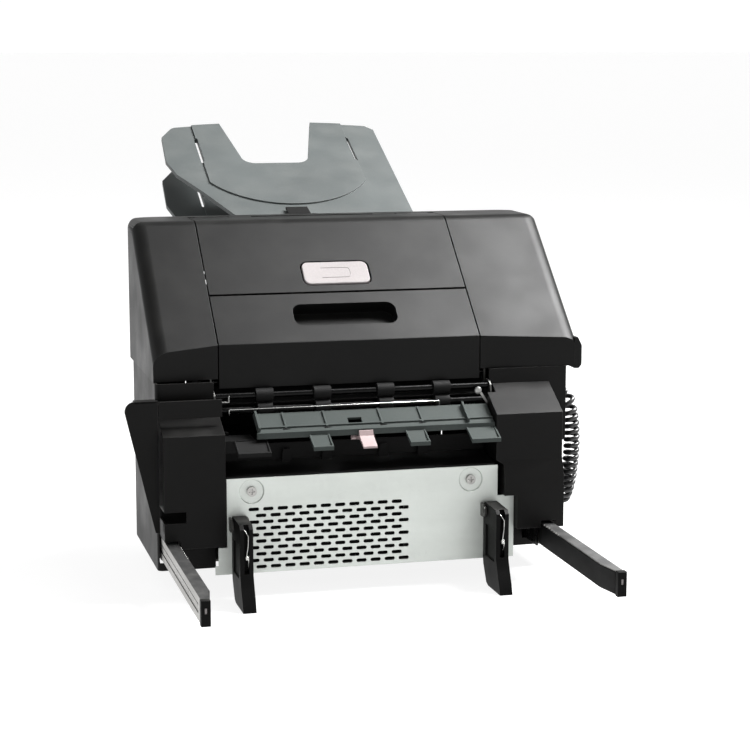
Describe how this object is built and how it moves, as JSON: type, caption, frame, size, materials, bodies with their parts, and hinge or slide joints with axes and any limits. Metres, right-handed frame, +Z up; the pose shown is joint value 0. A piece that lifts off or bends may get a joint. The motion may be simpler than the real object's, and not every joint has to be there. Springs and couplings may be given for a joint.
{
  "type": "docking sheet output unit",
  "caption": "Black docking output unit with a sloped two-door hood, release button, inclined bins, vented steel docking plate, telescopic slides, latch hooks and a curly cord.",
  "frame": {"origin": "midway between the two slides, in the outer plane of the docking plate and at its bottom edge", "axes": "+X to the right seen from the host, +Y away from the host and towards the bins, +Z up"},
  "size_m": [0.4425, 0.6151, 0.4112],
  "materials": {
    "cover_plastic": "fine-textured satin black moulding",
    "housing_plastic": "fine-textured black moulding",
    "inner_plastic": "matt black moulding",
    "bin_plastic": "textured grey moulding",
    "guide_plastic": "grey moulding",
    "button_white": "satin off-white moulding",
    "lever_pink": "satin pale pink moulding",
    "plate_steel": "galvanised sheet, pale satin",
    "frame_steel": "zinc-plated sheet",
    "slide_steel": "bright zinc-plated rolled section",
    "shaft_steel": "ground bar",
    "dark_steel": "blackened bar",
    "screw_steel": "zinc-plated",
    "spring_steel": "bright spring wire",
    "motor_metal": "plated steel can",
    "rubber": "ground rubber",
    "pulley_plastic": "natural acetal",
    "belt_rubber": "moulded belt",
    "board_green": "solder resist",
    "hook_plastic": "glass-filled black nylon",
    "cord_black": "satin polyurethane jacket"
  },
  "bodies": {
    "chassis": {"left_cover": "cover_plastic", "right_cover": "cover_plastic", "rear_cover": "cover_plastic", "left_lower_panel": "housing_plastic", "right_lower_panel": "housing_plastic", "left_leg_cover": "housing_plastic", "right_leg_cover": "housing_plastic", "side_wing": "housing_plastic", "base_frame": "frame_steel", "left_side_plate": "frame_steel", "right_side_plate": "frame_steel", "docking_plate": "plate_steel", "plate_screws": "screw_steel", "throat_floor": "inner_plastic", "inlet_guide": "guide_plastic", "access_door_pins": "shaft_steel", "top_door_pins": "shaft_steel", "drive_motor": "motor_metal", "drive_belts": "belt_rubber", "shaft_bushes": "pulley_plastic", "paper_guides": "inner_plastic", "control_board": "board_green", "upper_bin": "bin_plastic", "lower_bin": "bin_plastic", "left_slide_channel": "slide_steel", "right_slide_channel": "slide_steel", "hook_brackets": "frame_steel", "cord_gland": "cord_black", "cord_curl": "cord_black", "cord_tails": "cord_black", "cord_connector": "hook_plastic"},
    "access_door": {"access_door": "cover_plastic"},
    "top_door": {"top_door": "cover_plastic", "button_housing": "inner_plastic", "button_springs": "spring_steel"},
    "release_button": {"release_button": "button_white"},
    "feed_roller": {"feed_shaft": "dark_steel", "feed_rollers": "rubber", "feed_pulley": "inner_plastic"},
    "feed_idler": {"feed_idler_shaft": "dark_steel", "feed_idler_rollers": "rubber"},
    "transport_roller": {"transport_rollers": "rubber"},
    "transport_idler": {"transport_idlers": "inner_plastic"},
    "upper_exit_roller": {"upper_exit_rollers": "rubber"},
    "upper_exit_idler": {"upper_exit_idlers": "inner_plastic"},
    "lower_exit_roller": {"lower_exit_rollers": "rubber"},
    "lower_exit_idler": {"lower_exit_idlers": "inner_plastic"},
    "motor_rotor": {"motor_pulley": "pulley_plastic"},
    "diverter": {"diverter_flap": "inner_plastic"},
    "upper_flag": {"upper_bin_flag": "inner_plastic"},
    "lower_flag": {"lower_bin_flag": "inner_plastic"},
    "inlet_lever": {"inlet_lever": "lever_pink"},
    "left_slide": {"left_slide_member": "slide_steel", "left_slide_cap": "hook_plastic"},
    "right_slide": {"right_slide_member": "slide_steel", "right_slide_cap": "hook_plastic"},
    "left_hook": {"left_hook": "hook_plastic", "left_hook_spring": "spring_steel"},
    "right_hook": {"right_hook": "hook_plastic", "right_hook_spring": "spring_steel"}
  },
  "joints": [
    {"name": "access_door_hinge", "type": "hinge", "parent": "chassis", "child": "access_door", "pos_m": [0, 0.051, 0.168], "axis": [1, 0, 0], "range_deg": [0, 60]},
    {"name": "top_door_hinge", "type": "hinge", "parent": "chassis", "child": "top_door", "pos_m": [0, 0.203, 0.3025], "axis": [-1, 0, 0], "range_deg": [0, 70]},
    {"name": "button_press", "type": "slide", "parent": "top_door", "child": "release_button", "axis": [0, 0.6481, -0.7615], "range_m": [0, 0.003], "stiffness_N_per_m": 600, "springref_m": -0.003, "deforming": ["button_springs"]},
    {"name": "transport_spin", "type": "hinge", "parent": "chassis", "child": "transport_roller", "pos_m": [0, 0.114, 0.212], "axis": [1, 0, 0], "continuous": true},
    {"name": "feed_spin", "type": "hinge", "parent": "chassis", "child": "feed_roller", "pos_m": [0, 0.036, 0.157], "axis": [1, 0, 0], "continuous": true},
    {"name": "feed_idler_spin", "type": "hinge", "parent": "chassis", "child": "feed_idler", "pos_m": [0, 0.033, 0.1445], "axis": [1, 0, 0], "continuous": true},
    {"name": "transport_idler_spin", "type": "hinge", "parent": "chassis", "child": "transport_idler", "pos_m": [0, 0.10425, 0.22361], "axis": [1, 0, 0], "continuous": true},
    {"name": "upper_exit_spin", "type": "hinge", "parent": "chassis", "child": "upper_exit_roller", "pos_m": [0, 0.206, 0.28], "axis": [1, 0, 0], "continuous": true},
    {"name": "upper_exit_idler_spin", "type": "hinge", "parent": "chassis", "child": "upper_exit_idler", "pos_m": [0, 0.206, 0.2933], "axis": [1, 0, 0], "continuous": true},
    {"name": "lower_exit_spin", "type": "hinge", "parent": "chassis", "child": "lower_exit_roller", "pos_m": [0, 0.206, 0.234], "axis": [1, 0, 0], "continuous": true},
    {"name": "lower_exit_idler_spin", "type": "hinge", "parent": "chassis", "child": "lower_exit_idler", "pos_m": [0, 0.206, 0.2473], "axis": [1, 0, 0], "continuous": true},
    {"name": "motor_spin", "type": "hinge", "parent": "chassis", "child": "motor_rotor", "pos_m": [0, 0.12, 0.07], "axis": [1, 0, 0], "continuous": true},
    {"name": "diverter_swing", "type": "hinge", "parent": "chassis", "child": "diverter", "pos_m": [0, 0.176, 0.258], "axis": [1, 0, 0], "range_deg": [0, 12], "stiffness_Nm_per_rad": 0.1, "springref_deg": -11.46},
    {"name": "upper_flag_lift", "type": "hinge", "parent": "chassis", "child": "upper_flag", "pos_m": [0, 0.2252, 0.303], "axis": [1, 0, 0], "range_deg": [0, 35]},
    {"name": "lower_flag_lift", "type": "hinge", "parent": "chassis", "child": "lower_flag", "pos_m": [0, 0.2252, 0.257], "axis": [1, 0, 0], "range_deg": [0, 35]},
    {"name": "inlet_lever_swing", "type": "hinge", "parent": "chassis", "child": "inlet_lever", "pos_m": [0, 0.008, 0.119], "axis": [1, 0, 0], "range_deg": [0, 15], "stiffness_Nm_per_rad": 0.02, "springref_deg": -8.59},
    {"name": "left_slide_travel", "type": "slide", "parent": "chassis", "child": "left_slide", "axis": [0, 1, 0], "range_m": [0, 0.11]},
    {"name": "right_slide_travel", "type": "slide", "parent": "chassis", "child": "right_slide", "axis": [0, 1, 0], "range_m": [0, 0.11]},
    {"name": "left_hook_swing", "type": "hinge", "parent": "chassis", "child": "left_hook", "pos_m": [-0.116, -0.009, 0.047], "axis": [-1, 0, 0], "range_deg": [0, 15], "stiffness_Nm_per_rad": 0.5, "springref_deg": -11.46},
    {"name": "right_hook_swing", "type": "hinge", "parent": "chassis", "child": "right_hook", "pos_m": [0.1209, -0.009, 0.047], "axis": [-1, 0, 0], "range_deg": [0, 15], "stiffness_Nm_per_rad": 0.5, "springref_deg": -11.46}
  ],
  "couplings": [
    {"joint": "feed_spin", "follows": "transport_spin", "ratio": 1.4},
    {"joint": "feed_idler_spin", "follows": "transport_spin", "ratio": -1.4112},
    {"joint": "transport_idler_spin", "follows": "transport_spin", "ratio": -1.5517},
    {"joint": "upper_exit_spin", "follows": "transport_spin", "ratio": 1.125},
    {"joint": "upper_exit_idler_spin", "follows": "transport_spin", "ratio": -1.8},
    {"joint": "lower_exit_spin", "follows": "transport_spin", "ratio": 1.125},
    {"joint": "lower_exit_idler_spin", "follows": "transport_spin", "ratio": -1.8},
    {"joint": "motor_spin", "follows": "transport_spin", "ratio": 2.3333}
  ]
}
